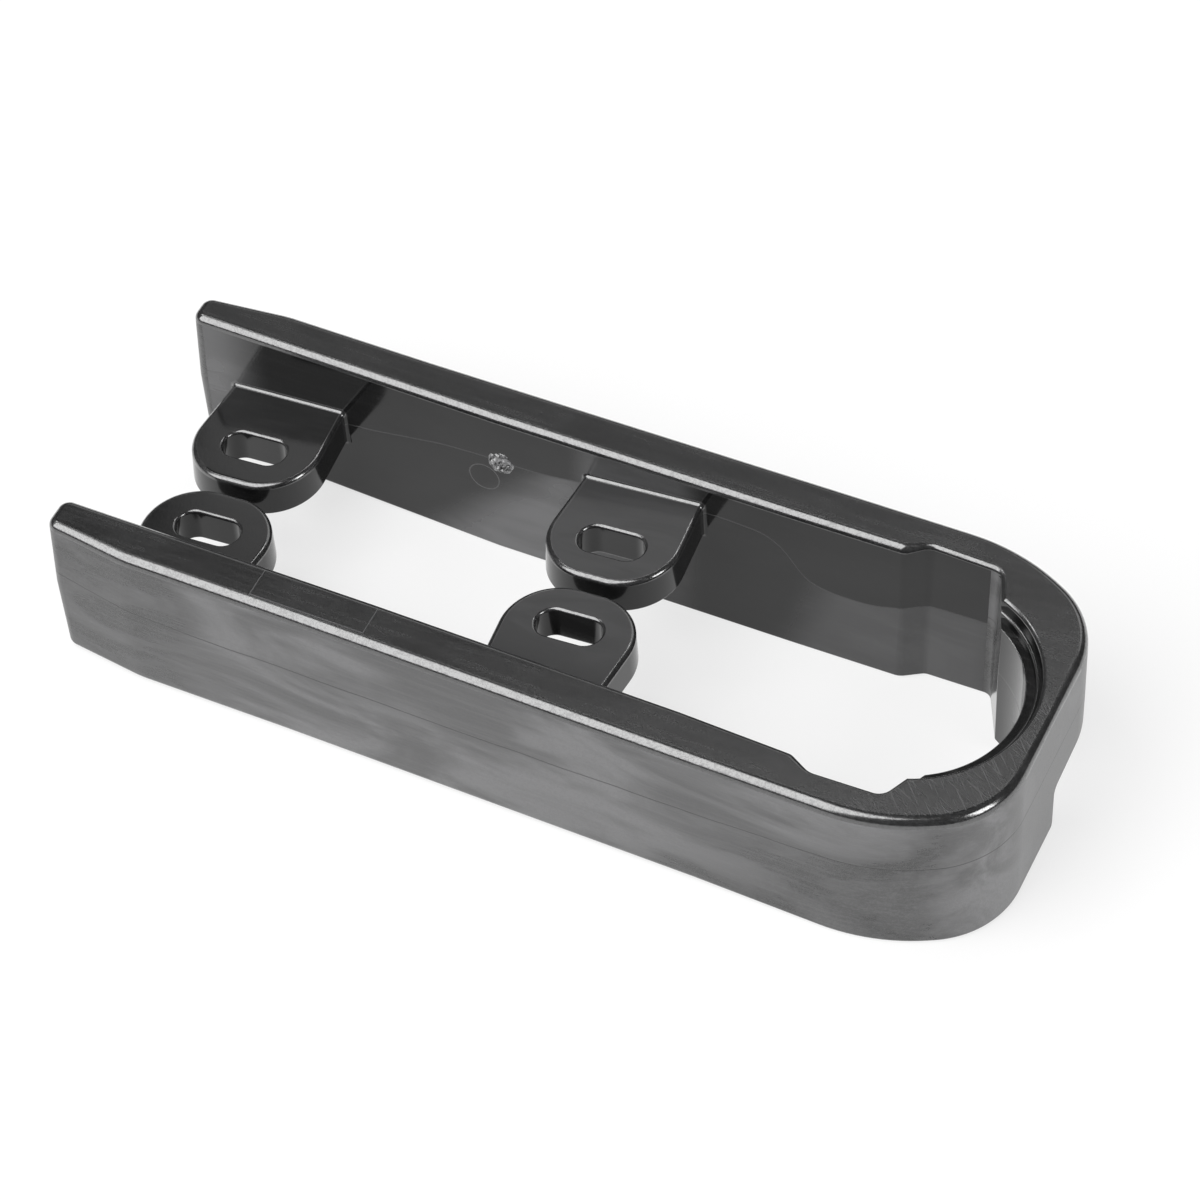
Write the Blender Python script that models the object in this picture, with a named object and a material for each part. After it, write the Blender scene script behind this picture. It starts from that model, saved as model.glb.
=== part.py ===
"""Chain slider: a one-piece moulded plastic U that wraps the front of a swingarm.

The body is one closed outline, seen from above, carried up through a stack of
inset loops, so its walls have the mould's draft and its edges are rounded.
Four slotted mounting tabs stand on one tilted plane between the arms.
X runs along the part from the two tips to the nose, Y across it, Z up.
"""

from math import atan2, ceil, cos, radians, sin, tan

import bmesh
import bpy
from mathutils import Vector

MM = 0.001

# Overall size
length = 200.9 * MM
width = 75.2 * MM
height = 38.0 * MM
parting_height = 20.0 * MM

# Arms; each wall's thickness is given at its tip, at its two inner bends and at the relief
far_arm_wall = (10.9 * MM, 11.5 * MM, 11.05 * MM, 10.7 * MM)
near_arm_wall = (11.95 * MM, 12.1 * MM, 11.6 * MM, 10.8 * MM)
inner_bend_from_tips = 70.0 * MM
inner_bend_from_nose = 65.9 * MM
arm_pinch = 1.0 * MM
pinch_from_tips = 52.0 * MM
pinch_from_nose = 58.9 * MM
tip_taper_length = 18.7 * MM
tip_taper_drop = 2.4 * MM
tip_radius = 3.0 * MM
bend_radius = 26.0 * MM

# Nose
nose_corner_run = 21.2 * MM
nose_corner_drop = 11.3 * MM
nose_end_radius = 20.0 * MM
nose_side_radius = 42.0 * MM

# Ring bore in the nose, with its two ledges
ring_radius = 22.2 * MM
ring_wall = 7.6 * MM
ring_offset = 0.5 * MM
ring_opening_angle = 59.4
rim_radius = 25.6 * MM
rim_depth = 2.3 * MM
ledge_radius = 24.4 * MM
ledge_depth = 3.7 * MM
rim_rounding = 0.9 * MM
ledge_rounding = 0.5 * MM

# Relief in each arm beside the ring, from a little behind the ring's centre to past it
relief_behind = 12.4 * MM
relief_past = 6.5 * MM
relief_run = 4.6 * MM
relief_depth = 2.4 * MM
relief_start_radius = 3.2 * MM
relief_end_radius = 2.6 * MM
ring_corner_radius = 0.8 * MM
least_radius = 0.3 * MM

# Lean of the walls in degrees, above and below the parting line
outer_lean = (1.7, 1.7)
inner_lean = (1.5, -2.9)
relief_start_lean = (3.0, -1.7)
relief_end_lean = (1.7, -1.0)
ring_lean = (1.0, 0.4)
nose_lean = (0.6, 0.0)

# Edge rounding of the walls
outer_top_rounding = 2.1 * MM
nose_side_rounding = 2.2 * MM
nose_end_rounding = 1.6 * MM
inner_top_rounding = 1.7 * MM
relief_top_rounding = 1.1 * MM
tip_top_rounding = 1.7 * MM
outer_bottom_rounding = 2.0 * MM
nose_bottom_rounding = 1.2 * MM
inner_bottom_rounding = 0.5 * MM

# Mounting tabs
tab_first_x = 22.1 * MM
tab_spacing = 80.7 * MM
tab_stagger = 1.5 * MM
tab_root_width = 26.6 * MM
tab_head_width = 28.7 * MM
tab_thickness = 8.4 * MM
tab_end_radius = 11.8 * MM
tab_gap = 2.6 * MM
tab_slope = 0.0964
tab_first_height = 23.1 * MM
tab_top_rounding = 1.1 * MM
tab_bottom_rounding = 0.6 * MM
tab_side_lean = 2.0
tab_root_fillet = 0.8 * MM
tab_root_depth = 3.0 * MM

# Slots in the tabs
slot_length = 14.0 * MM
slot_width = 6.8 * MM
slot_setback = 10.2 * MM
slot_rounding = 0.7 * MM

# Notch under the far half of the nose's end wall
notch_start = 2.7 * MM
notch_height = 12.6 * MM
notch_roof_slope = 0.1
notch_corner_radius = 2.0 * MM
notch_foot_radius = 2.4 * MM
notch_depth = 13.5 * MM

# Fineness of the curves
arc_step = 5.2
rounding_steps = 4
ring_steps = 96

# Moulded black plastic
plastic_colour = (0.022, 0.022, 0.024, 1.0)
plastic_roughness = 0.38

# How far a cutter reaches past the face that it opens
overrun = 1.0 * MM


def clear_scene():
    for old in list(bpy.data.objects):
        bpy.data.objects.remove(old, do_unlink=True)


def black_plastic():
    material = bpy.data.materials.new("black_plastic")
    material.use_nodes = True
    shader = material.node_tree.nodes["Principled BSDF"]
    shader.inputs["Base Color"].default_value = plastic_colour
    shader.inputs["Roughness"].default_value = plastic_roughness
    shader.inputs["Metallic"].default_value = 0.0
    return material


def ring_centre():
    """The bore's centre, which lies a little towards the near arm."""
    return length - ring_wall - ring_radius, -ring_offset


def inner_bends(side):
    """(x, distance from the middle plane) along one arm's inner face, at the parting line."""
    walls = far_arm_wall if side > 0 else near_arm_wall
    relief_start = ring_centre()[0] - relief_behind
    places = (0.0, inner_bend_from_tips, length - inner_bend_from_nose, relief_start)
    return [(x, width / 2 - wall) for x, wall in zip(places, walls)]


def inner_wall(x, z, side):
    """Distance from the middle plane to the inner face of an arm, which bends and leans."""
    bends = inner_bends(side)
    last = 1
    while last < len(bends) - 1 and x > bends[last][0]:
        last += 1
    (start_x, start_y), (end_x, end_y) = bends[last - 1], bends[last]
    across = start_y + (end_y - start_y) * (x - start_x) / (end_x - start_x)
    return across + (z - parting_height) * tan(radians(inner_lean[0]))


def corner(x, y, radius, edge):
    return {"at": Vector((x, y)), "radius": radius, "edge": edge}


def half_corners(side):
    """Corners of half the outline, from the nose's end round to the relief.

    The half is drawn on the far side; side is 1 for the far arm's form, -1 for the near
    arm's. An edge is (top rounding, bottom rounding, (lean above, lean below the parting line)).
    """
    nose_end = (nose_end_rounding, nose_bottom_rounding, nose_lean)
    nose_side = (nose_side_rounding, nose_bottom_rounding, nose_lean)
    outer = (outer_top_rounding, outer_bottom_rounding, outer_lean)
    tip = (tip_top_rounding, outer_bottom_rounding, outer_lean)
    inner = (inner_top_rounding, inner_bottom_rounding, inner_lean)
    relief = (relief_top_rounding, inner_bottom_rounding, relief_start_lean)
    relief_last = (relief_top_rounding, inner_bottom_rounding, relief_end_lean)

    outside = width / 2
    pinched = outside - arm_pinch
    at_tip, tip_bend, nose_bend, at_relief = inner_bends(side)
    relief_start, inside = at_relief
    deep = inside + relief_depth
    relief_end = ring_centre()[0] + relief_past
    return [
        corner(length, 0.0, 0.0, nose_end),
        corner(length, outside - nose_corner_drop, nose_end_radius, nose_side),
        corner(length - nose_corner_run, outside, nose_side_radius, nose_side),
        corner(length - pinch_from_nose, outside, 0.0, outer),
        corner(pinch_from_tips, pinched, 0.0, outer),
        corner(tip_taper_length, pinched, bend_radius, outer),
        corner(0.0, pinched - tip_taper_drop, tip_radius, tip),
        corner(*at_tip, tip_radius, tip),
        corner(*tip_bend, 0.0, inner),
        corner(*nose_bend, 0.0, inner),
        corner(relief_start, inside, relief_start_radius, inner),
        corner(relief_start + relief_run, deep, relief_start_radius, relief),
        corner(relief_end, deep, relief_end_radius, relief_last),
    ]


def ring_corners():
    """Points of the ring bore, from its far end round past the nose to its near end."""
    ring = (relief_top_rounding, inner_bottom_rounding, ring_lean)
    centre_x, centre_y = ring_centre()
    opening = radians(ring_opening_angle)
    steps = 2 * ceil(ring_opening_angle * ring_steps / 360)
    corners = []
    for i in range(steps + 1):
        angle = opening * (1 - 2 * i / steps)
        x = centre_x + ring_radius * cos(angle)
        y = centre_y + ring_radius * sin(angle)
        radius = ring_corner_radius if i in (0, steps) else 0.0
        corners.append(corner(x, y, radius, ring))
    return corners


def mirrored(corners):
    """The near half, walked back from its relief to the nose's end."""
    near = []
    for item in reversed(corners[1:]):
        near.append(corner(item["at"].x, -item["at"].y, item["radius"], item["edge"]))
    return near


def with_bends(corners):
    """Add to each corner its bend, its arc steps and its outward step of one unit."""
    for i, item in enumerate(corners):
        before = (item["at"] - corners[i - 1]["at"]).normalized()
        after = (corners[(i + 1) % len(corners)]["at"] - item["at"]).normalized()
        out = (Vector((before.y, -before.x)) + Vector((after.y, -after.x))).normalized()
        item["out"] = out / out.dot(Vector((after.y, -after.x)))
        item["outward_bend"] = before.cross(after) > 0.0
        item["steps"] = max(1, round(before.angle(after) / radians(arc_step)))
    return corners


def rounded_outline(corners):
    """Points of a closed outline whose corners with a radius are drawn as arcs."""
    outline = []
    for i, item in enumerate(corners):
        at = item["at"]
        before = (corners[i - 1]["at"] - at).normalized()
        after = (corners[(i + 1) % len(corners)]["at"] - at).normalized()
        turn = before.angle(-after)
        if item["radius"] == 0.0:
            outline.append((at.x, at.y, item["z"]))
            continue
        reach = item["radius"] * tan(turn / 2)
        centre = at + (before + after).normalized() * (item["radius"] / cos(turn / 2))
        start = at + before * reach - centre
        end = at + after * reach - centre
        for k in range(item["steps"] + 1):
            share = k / item["steps"]
            spoke = (start * sin((1 - share) * turn) + end * sin(share * turn)) / sin(turn)
            point = centre + spoke
            outline.append((point.x, point.y, item["z"]))
    return outline


def inset_corners(corners, kind, share):
    """The corners moved into the material for one level of the walls."""
    moved = []
    for item in corners:
        top, bottom, lean = item["edge"]
        inset, z = 0.0, parting_height
        if kind == "bottom":
            inset, z = rounding(bottom, rounding_steps)[share]
            inset += (parting_height - z) * tan(radians(lean[1]))
        if kind == "top":
            inset, drop = rounding(top, rounding_steps)[share]
            z = height - drop
            inset += (z - parting_height) * tan(radians(lean[0]))
        radius = item["radius"]
        if radius > 0.0:
            radius -= inset if item["outward_bend"] else -inset
            radius = max(radius, least_radius)
        moved.append({**item, "at": item["at"] - item["out"] * inset, "radius": radius, "z": z})
    return moved


def rounding(radius, steps):
    """(inset, height) pairs of a quarter round, from a flat face to the wall below it."""
    pairs = []
    for i in range(steps + 1):
        angle = radians(90) * i / steps
        pairs.append((radius * (1 - sin(angle)), radius * (1 - cos(angle))))
    return pairs


def skin(loops, name):
    """Join a stack of loops of the same length into one solid."""
    mesh = bpy.data.meshes.new(name)
    bm = bmesh.new()
    rows = [[bm.verts.new(point) for point in loop] for loop in loops]
    for lower, upper in zip(rows, rows[1:]):
        for i in range(len(lower)):
            j = (i + 1) % len(lower)
            bm.faces.new((lower[i], lower[j], upper[j], upper[i]))
    bm.faces.new(list(reversed(rows[0])))
    bm.faces.new(rows[-1])
    bmesh.ops.recalc_face_normals(bm, faces=bm.faces)
    bm.to_mesh(mesh)
    bm.free()
    mesh.shade_smooth()
    mesh.set_sharp_from_angle(angle=radians(35))
    return mesh


def add_object(name, mesh):
    item = bpy.data.objects.new(name, mesh)
    item.location.x = -length / 2
    bpy.context.scene.collection.objects.link(item)
    return item


def body_mesh():
    """The U: its outline, inset by lean and by edge rounding at each level."""
    corners = half_corners(1) + ring_corners() + mirrored(half_corners(-1))
    corners = with_bends(corners)
    levels = [("bottom", share) for share in range(rounding_steps + 1)]
    levels.append(("parting", 0))
    levels += [("top", share) for share in range(rounding_steps, -1, -1)]
    loops = [rounded_outline(inset_corners(corners, *level)) for level in levels]
    return skin(loops, "chain_slider")


def tab_top(x):
    """Height of the tilted plane that carries the top faces of all the tabs."""
    return tab_first_height + (x - tab_first_x) * tab_slope


def root_flare(distance):
    """Extra size of a tab where it runs out into the arm."""
    short = max(tab_root_fillet - max(distance, 0.0), 0.0)
    return tab_root_fillet - (tab_root_fillet**2 - short**2) ** 0.5


def tab_rows(reach):
    """(half width, distance from the wall, outward direction) from root to rounded end."""
    root = tab_root_width / 2
    head = tab_head_width / 2
    flare_angle = atan2(head - root, reach - tab_end_radius)
    rows = [(root + root_flare(0.0), -tab_root_depth, 0.0)]
    for i in range(rounding_steps + 2):
        distance = tab_root_fillet * (1 - cos(radians(90) * i / (rounding_steps + 1)))
        half = root + distance * tan(flare_angle)
        rows.append((half + root_flare(distance), distance, 0.0))
    end_steps = round(90 / arc_step / 1.6)
    for i in range(end_steps + 1):
        angle = -flare_angle + (radians(90) + flare_angle) * i / end_steps
        across = head - tab_end_radius + tab_end_radius * cos(angle)
        along = reach - tab_end_radius + tab_end_radius * sin(angle)
        rows.append((across, along, angle))
    return rows


def tab_edge():
    """(inset, height above the tab's middle) up one leaning side, rounded at both ends."""
    half = tab_thickness / 2
    edge = []
    for inset, rise in rounding(tab_bottom_rounding, rounding_steps - 1):
        edge.append((inset, rise - half))
    for inset, drop in rounding(tab_top_rounding, rounding_steps - 1)[::-1]:
        edge.append((inset, half - drop))
    lean = tan(radians(tab_side_lean))
    return [(inset + (level + half) * lean, level) for inset, level in edge]


def tab_mesh(centre_x, side):
    """One tab: a D-shaped plate that flares into the arm; side is 1 far, -1 near."""
    bm = bmesh.new()
    edge = tab_edge()
    wall_at_tab = inner_wall(centre_x, tab_top(centre_x), side)
    rows = []
    for half, distance, angle in tab_rows(wall_at_tab - tab_gap / 2):
        flare = root_flare(distance)
        row = []
        for hand in (-1, 1):
            for inset, level in edge:
                x = centre_x + hand * (half - inset * cos(angle))
                lift = flare if level > 0 else -flare
                z = tab_top(x) - tab_thickness / 2 + level + lift
                at_root = distance <= tab_root_fillet
                wall = inner_wall(x, z, side) if at_root else wall_at_tab
                y = side * (wall - distance + inset * sin(angle))
                row.append(bm.verts.new((x, y, z)))
        count = len(edge)
        rows.append(row[:count] + row[count:][::-1])
    for near, far in zip(rows, rows[1:]):
        for i in range(len(near)):
            j = (i + 1) % len(near)
            bm.faces.new((near[i], near[j], far[j], far[i]))
    bm.faces.new(rows[0])
    last = rows[-1]
    for i in range(len(edge) - 1):
        j = len(last) - 1 - i
        bm.faces.new((last[i], last[i + 1], last[j - 1], last[j]))
    bmesh.ops.recalc_face_normals(bm, faces=bm.faces)
    mesh = bpy.data.meshes.new("tab")
    bm.to_mesh(mesh)
    bm.free()
    mesh.shade_smooth()
    mesh.set_sharp_from_angle(angle=radians(35))
    return mesh


def slot_mesh(centre_x, side):
    """Cutter for one slot, which opens out at both faces to round its rims."""
    centre_y = side * (tab_gap / 2 + slot_setback)
    end_radius = slot_width / 2
    straight = slot_length / 2 - end_radius
    rim = rounding(slot_rounding, rounding_steps)[1:]
    upper = [(slot_rounding, overrun)] + [(inset, -drop) for inset, drop in rim]
    lower = [(inset, -tab_thickness - level) for inset, level in upper]
    end_steps = round(180 / arc_step / 2.4)
    loops = []
    for grow, level in lower + upper[::-1]:
        loop = []
        for hand in (1, -1):
            for i in range(end_steps + 1):
                angle = radians(-90 + 180 * i / end_steps)
                x = centre_x + hand * (straight + (end_radius + grow) * cos(angle))
                y = centre_y + hand * (end_radius + grow) * sin(angle)
                loop.append((x, y, tab_top(x) + level))
        loops.append(loop)
    return skin(loops, "slot_cutter")


def ledge_mesh():
    """Turned cutter for the rim and the two ledges at the top of the ring bore."""
    centre_x, centre_y = ring_centre()
    profile = [(rim_radius + rim_rounding, height + overrun)]
    for inset, drop in rounding(rim_rounding, rounding_steps)[1:]:
        profile.append((rim_radius + inset, height - drop))
    profile.append((rim_radius, height - rim_depth))
    for inset, drop in rounding(ledge_rounding, rounding_steps)[1:]:
        profile.append((ledge_radius + inset, height - rim_depth - drop))
    profile.append((ledge_radius, height - ledge_depth))
    for inset, drop in rounding(ledge_rounding, rounding_steps)[1:-1]:
        profile.append((ring_radius + inset, height - ledge_depth - drop))
    bore = ring_radius - ledge_rounding
    profile.append((bore, height - ledge_depth - 2 * ledge_rounding))
    loops = []
    for radius, z in profile:
        loop = []
        for i in range(ring_steps):
            angle = radians(360) * i / ring_steps
            x = centre_x + radius * cos(angle)
            loop.append((x, centre_y + radius * sin(angle), z))
        loops.append(loop)
    return skin(loops, "ledge_cutter")


def notch_mesh():
    """Cutter that lifts the lower edge of the nose's end wall on its far half."""
    far_y = width
    profile = [(notch_start - notch_foot_radius, -overrun)]
    for inset, rise in rounding(notch_foot_radius, rounding_steps)[1:]:
        profile.append((notch_start - inset, rise))
    for i in range(rounding_steps + 1):
        angle = radians(90) * i / rounding_steps
        y = notch_start + notch_corner_radius * (1 - cos(angle))
        profile.append((y, notch_height - notch_corner_radius * (1 - sin(angle))))
    profile.append((far_y, notch_height + notch_roof_slope * (far_y - notch_start)))
    profile.append((far_y, -overrun))
    loops = []
    for x in (length - notch_depth, length + overrun):
        loops.append([(x, y, z) for y, z in profile])
    return skin(loops, "notch_cutter")


def cut_with(body, tool, operation):
    tool.hide_render = True
    tool.display_type = "WIRE"
    modifier = body.modifiers.new(tool.name, "BOOLEAN")
    modifier.operation = operation
    modifier.solver = "EXACT"
    modifier.object = tool


def build():
    clear_scene()
    body = add_object("chain_slider", body_mesh())
    body.data.materials.append(black_plastic())
    cut_with(body, add_object("ledge_cutter", ledge_mesh()), "DIFFERENCE")
    cut_with(body, add_object("notch_cutter", notch_mesh()), "DIFFERENCE")
    for number in range(2):
        for side, word in ((1, "far"), (-1, "near")):
            centre_x = tab_first_x + number * tab_spacing
            centre_x += tab_stagger if side < 0 else 0.0
            name = f"tab_{word}_{number + 1}"
            cut_with(body, add_object(name, tab_mesh(centre_x, side)), "UNION")
            name = f"slot_{word}_{number + 1}"
            cut_with(body, add_object(name, slot_mesh(centre_x, side)), "DIFFERENCE")


build()
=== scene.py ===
# %% [markdown]
# # A moulded chain slider on a white table
# A chain slider is one piece of injection-moulded plastic. It wraps the front of a
# motorbike's swingarm, so that the chain rubs on plastic and not on metal. This lesson
# loads the plain solid, builds a finer mesh of the same form round it, gives the plastic
# the marks that a mould leaves, and lights it like a product photograph.

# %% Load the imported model
from math import atan2, ceil, cos, pi, radians, sin, sqrt, tan

import bmesh
import bpy
from mathutils import Matrix, Vector, noise


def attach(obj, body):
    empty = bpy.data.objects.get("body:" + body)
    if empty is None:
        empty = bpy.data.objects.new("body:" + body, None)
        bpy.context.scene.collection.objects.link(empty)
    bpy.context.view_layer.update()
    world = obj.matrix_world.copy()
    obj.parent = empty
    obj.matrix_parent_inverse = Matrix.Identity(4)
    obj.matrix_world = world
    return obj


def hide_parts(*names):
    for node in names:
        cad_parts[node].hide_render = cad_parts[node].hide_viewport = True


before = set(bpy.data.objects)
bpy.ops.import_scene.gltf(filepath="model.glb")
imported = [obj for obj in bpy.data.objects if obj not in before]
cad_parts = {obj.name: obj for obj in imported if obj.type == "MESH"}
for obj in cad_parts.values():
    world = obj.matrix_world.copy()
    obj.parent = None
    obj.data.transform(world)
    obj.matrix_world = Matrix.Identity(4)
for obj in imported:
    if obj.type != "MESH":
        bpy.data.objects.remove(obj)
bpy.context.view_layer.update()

# %% [markdown]
# ## Sizes
# The solid and this mesh must agree, so every size of the real part is written down once,
# here, in metres. A mesh for looks can be much finer than a solid: its curves take more
# steps, and nothing else about the shape changes.

# %% Sizes of the part
MM = 0.001
length = 200.9 * MM
width = 75.2 * MM
height = 38.0 * MM
parting_height = 20.0 * MM

# Each arm wall's thickness at its tip, at its two inner bends and at the relief
far_arm_wall = (10.9 * MM, 11.5 * MM, 11.05 * MM, 10.7 * MM)
near_arm_wall = (11.95 * MM, 12.1 * MM, 11.6 * MM, 10.8 * MM)
inner_bend_from_tips = 70.0 * MM
inner_bend_from_nose = 65.9 * MM
arm_pinch = 1.0 * MM
pinch_from_tips = 52.0 * MM
pinch_from_nose = 58.9 * MM
tip_taper_length = 18.7 * MM
tip_taper_drop = 2.4 * MM
tip_radius = 3.0 * MM
bend_radius = 26.0 * MM

nose_corner_run = 21.2 * MM
nose_corner_drop = 11.3 * MM
nose_end_radius = 20.0 * MM
nose_side_radius = 42.0 * MM

ring_radius = 22.2 * MM
ring_wall = 7.6 * MM
ring_offset = 0.5 * MM
ring_opening_angle = 59.4
rim_radius = 25.6 * MM
rim_depth = 2.3 * MM
ledge_radius = 24.4 * MM
ledge_depth = 3.7 * MM
rim_rounding = 0.9 * MM
ledge_rounding = 0.5 * MM

relief_behind = 12.4 * MM
relief_past = 6.5 * MM
relief_run = 4.6 * MM
relief_depth = 2.4 * MM
relief_start_radius = 3.2 * MM
relief_end_radius = 2.6 * MM
ring_corner_radius = 0.8 * MM
least_radius = 0.3 * MM

tab_first_x = 22.1 * MM
tab_spacing = 80.7 * MM
tab_stagger = 1.5 * MM
tab_root_width = 26.6 * MM
tab_head_width = 28.7 * MM
tab_thickness = 8.4 * MM
tab_end_radius = 11.8 * MM
tab_gap = 2.6 * MM
tab_slope = 0.0964
tab_first_height = 23.1 * MM
tab_top_rounding = 1.1 * MM
tab_bottom_rounding = 0.6 * MM
tab_side_lean = 2.0
tab_root_fillet = 0.8 * MM
tab_root_depth = 3.0 * MM

slot_length = 14.0 * MM
slot_width = 6.8 * MM
slot_setback = 10.2 * MM
slot_rounding = 0.7 * MM

notch_start = 2.7 * MM
notch_height = 12.6 * MM
notch_roof_slope = 0.1
notch_corner_radius = 2.0 * MM
notch_foot_radius = 2.4 * MM
notch_depth = 13.5 * MM

overrun = 1.0 * MM
print("The part is", round(length / MM, 1), "mm long and", round(height / MM, 1), "mm tall")

# %% [markdown]
# ## Edges and draft
# A moulded wall leans a degree or two, so that it slides out of the steel. Each edge of the
# outline therefore carries four facts: how round its top is, how round its bottom is, and
# how much the wall leans above and below the line where the two mould halves met.

# %% Edges of the walls: (top rounding, bottom rounding, (lean above, lean below))
outer_edge = (2.1 * MM, 2.0 * MM, (1.7, 1.7))
tip_edge = (1.7 * MM, 2.0 * MM, (1.7, 1.7))
nose_end_edge = (1.6 * MM, 1.2 * MM, (0.6, 0.0))
nose_side_edge = (2.2 * MM, 1.2 * MM, (0.6, 0.0))
inner_edge = (1.7 * MM, 0.5 * MM, (1.5, -2.9))
relief_start_edge = (1.1 * MM, 0.5 * MM, (3.0, -1.7))
relief_end_edge = (1.1 * MM, 0.5 * MM, (1.7, -1.0))
ring_edge = (1.1 * MM, 0.5 * MM, (1.0, 0.4))

# %% [markdown]
# ## Fineness
# A curve in a mesh is a row of short straight pieces. Three values say how many there are in
# an arc, in a rounded edge and round the ring bore, and every curved form below reads them.

# %% Fineness of the mesh
arc_step = 2.4
rounding_steps = 8
ring_steps = 216
print("One corner of 90 degrees takes", round(90 / arc_step), "steps")

# %% [markdown]
# ## The outline
# Seen from above the part is a long U. It could be drawn as a curve, but a list of corners
# with a radius each is easier to control: the far half is written out, the near half is its
# mirror image, and the ring bore in the nose joins the two.

# %% The outline's corners


def ring_centre():
    return length - ring_wall - ring_radius, -ring_offset


def inner_bends(side):
    """(x, distance from the middle plane) along one arm's inner face, at the parting line."""
    walls = far_arm_wall if side > 0 else near_arm_wall
    relief_start = ring_centre()[0] - relief_behind
    places = (0.0, inner_bend_from_tips, length - inner_bend_from_nose, relief_start)
    return [(x, width / 2 - wall) for x, wall in zip(places, walls)]


def inner_wall(x, z, side):
    """Distance from the middle plane to the inner face of an arm, which bends and leans."""
    bends = inner_bends(side)
    last = 1
    while last < len(bends) - 1 and x > bends[last][0]:
        last += 1
    (start_x, start_y), (end_x, end_y) = bends[last - 1], bends[last]
    across = start_y + (end_y - start_y) * (x - start_x) / (end_x - start_x)
    return across + (z - parting_height) * tan(radians(inner_edge[2][0]))


def corner(x, y, radius, edge):
    return {"at": Vector((x, y)), "radius": radius, "edge": edge}


def half_corners(side):
    """Corners from the nose's end round to the relief, drawn on the far side."""
    outside = width / 2
    pinched = outside - arm_pinch
    at_tip, tip_bend, nose_bend, at_relief = inner_bends(side)
    relief_start, inside = at_relief
    deep = inside + relief_depth
    relief_end = ring_centre()[0] + relief_past
    return [
        corner(length, 0.0, 0.0, nose_end_edge),
        corner(length, outside - nose_corner_drop, nose_end_radius, nose_side_edge),
        corner(length - nose_corner_run, outside, nose_side_radius, nose_side_edge),
        corner(length - pinch_from_nose, outside, 0.0, outer_edge),
        corner(pinch_from_tips, pinched, 0.0, outer_edge),
        corner(tip_taper_length, pinched, bend_radius, outer_edge),
        corner(0.0, pinched - tip_taper_drop, tip_radius, tip_edge),
        corner(*at_tip, tip_radius, tip_edge),
        corner(*tip_bend, 0.0, inner_edge),
        corner(*nose_bend, 0.0, inner_edge),
        corner(relief_start, inside, relief_start_radius, inner_edge),
        corner(relief_start + relief_run, deep, relief_start_radius, relief_start_edge),
        corner(relief_end, deep, relief_end_radius, relief_end_edge),
    ]


def ring_corners():
    centre_x, centre_y = ring_centre()
    opening = radians(ring_opening_angle)
    steps = 2 * ceil(ring_opening_angle * ring_steps / 360)
    corners = []
    for i in range(steps + 1):
        angle = opening * (1 - 2 * i / steps)
        x = centre_x + ring_radius * cos(angle)
        y = centre_y + ring_radius * sin(angle)
        radius = ring_corner_radius if i in (0, steps) else 0.0
        corners.append(corner(x, y, radius, ring_edge))
    return corners


def mirrored(corners):
    near = []
    for item in reversed(corners[1:]):
        near.append(corner(item["at"].x, -item["at"].y, item["radius"], item["edge"]))
    return near


outline_corners = half_corners(1) + ring_corners() + mirrored(half_corners(-1))
print("The outline has", len(outline_corners), "corners")

# %% [markdown]
# ## From corners to loops
# Each level of the wall is the same outline, moved into the plastic by as much as the draft
# and the edge rounding ask for. Moving every corner along its own bisector, and shrinking
# its radius by the same amount, keeps the loops parallel and free of folds.

# %% Drawing one level of the walls


def with_bends(corners):
    """Add to each corner its outward step, the way it bends and its number of arc steps."""
    for i, item in enumerate(corners):
        before = (item["at"] - corners[i - 1]["at"]).normalized()
        after = (corners[(i + 1) % len(corners)]["at"] - item["at"]).normalized()
        out = (Vector((before.y, -before.x)) + Vector((after.y, -after.x))).normalized()
        item["out"] = out / out.dot(Vector((after.y, -after.x)))
        item["outward_bend"] = before.cross(after) > 0.0
        item["steps"] = max(1, round(before.angle(after) / radians(arc_step)))
    return corners


def rounded_outline(corners):
    """Points of the closed outline, with an arc at each corner that has a radius."""
    outline = []
    for i, item in enumerate(corners):
        at = item["at"]
        before = (corners[i - 1]["at"] - at).normalized()
        after = (corners[(i + 1) % len(corners)]["at"] - at).normalized()
        turn = before.angle(-after)
        if item["radius"] == 0.0:
            outline.append((at.x, at.y, item["z"]))
            continue
        reach = item["radius"] * tan(turn / 2)
        centre = at + (before + after).normalized() * (item["radius"] / cos(turn / 2))
        start = at + before * reach - centre
        end = at + after * reach - centre
        for k in range(item["steps"] + 1):
            share = k / item["steps"]
            spoke = (start * sin((1 - share) * turn) + end * sin(share * turn)) / sin(turn)
            point = centre + spoke
            outline.append((point.x, point.y, item["z"]))
    return outline


def rounding(radius, steps):
    """(inset, height) pairs of a quarter round, from a flat face to the wall below it."""
    pairs = []
    for i in range(steps + 1):
        angle = radians(90) * i / steps
        pairs.append((radius * (1 - sin(angle)), radius * (1 - cos(angle))))
    return pairs


def inset_corners(corners, kind, step):
    """The corners of one level, moved into the plastic by the draft and the rounding."""
    moved = []
    for item in corners:
        top, bottom, lean = item["edge"]
        inset, z = 0.0, parting_height
        if kind == "bottom":
            inset, z = rounding(bottom, rounding_steps)[step]
            inset += (parting_height - z) * tan(radians(lean[1]))
        if kind == "top":
            inset, drop = rounding(top, rounding_steps)[step]
            z = height - drop
            inset += (z - parting_height) * tan(radians(lean[0]))
        radius = item["radius"]
        if radius > 0.0:
            radius -= inset if item["outward_bend"] else -inset
            radius = max(radius, least_radius)
        moved.append({**item, "at": item["at"] - item["out"] * inset, "radius": radius, "z": z})
    return moved


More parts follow.
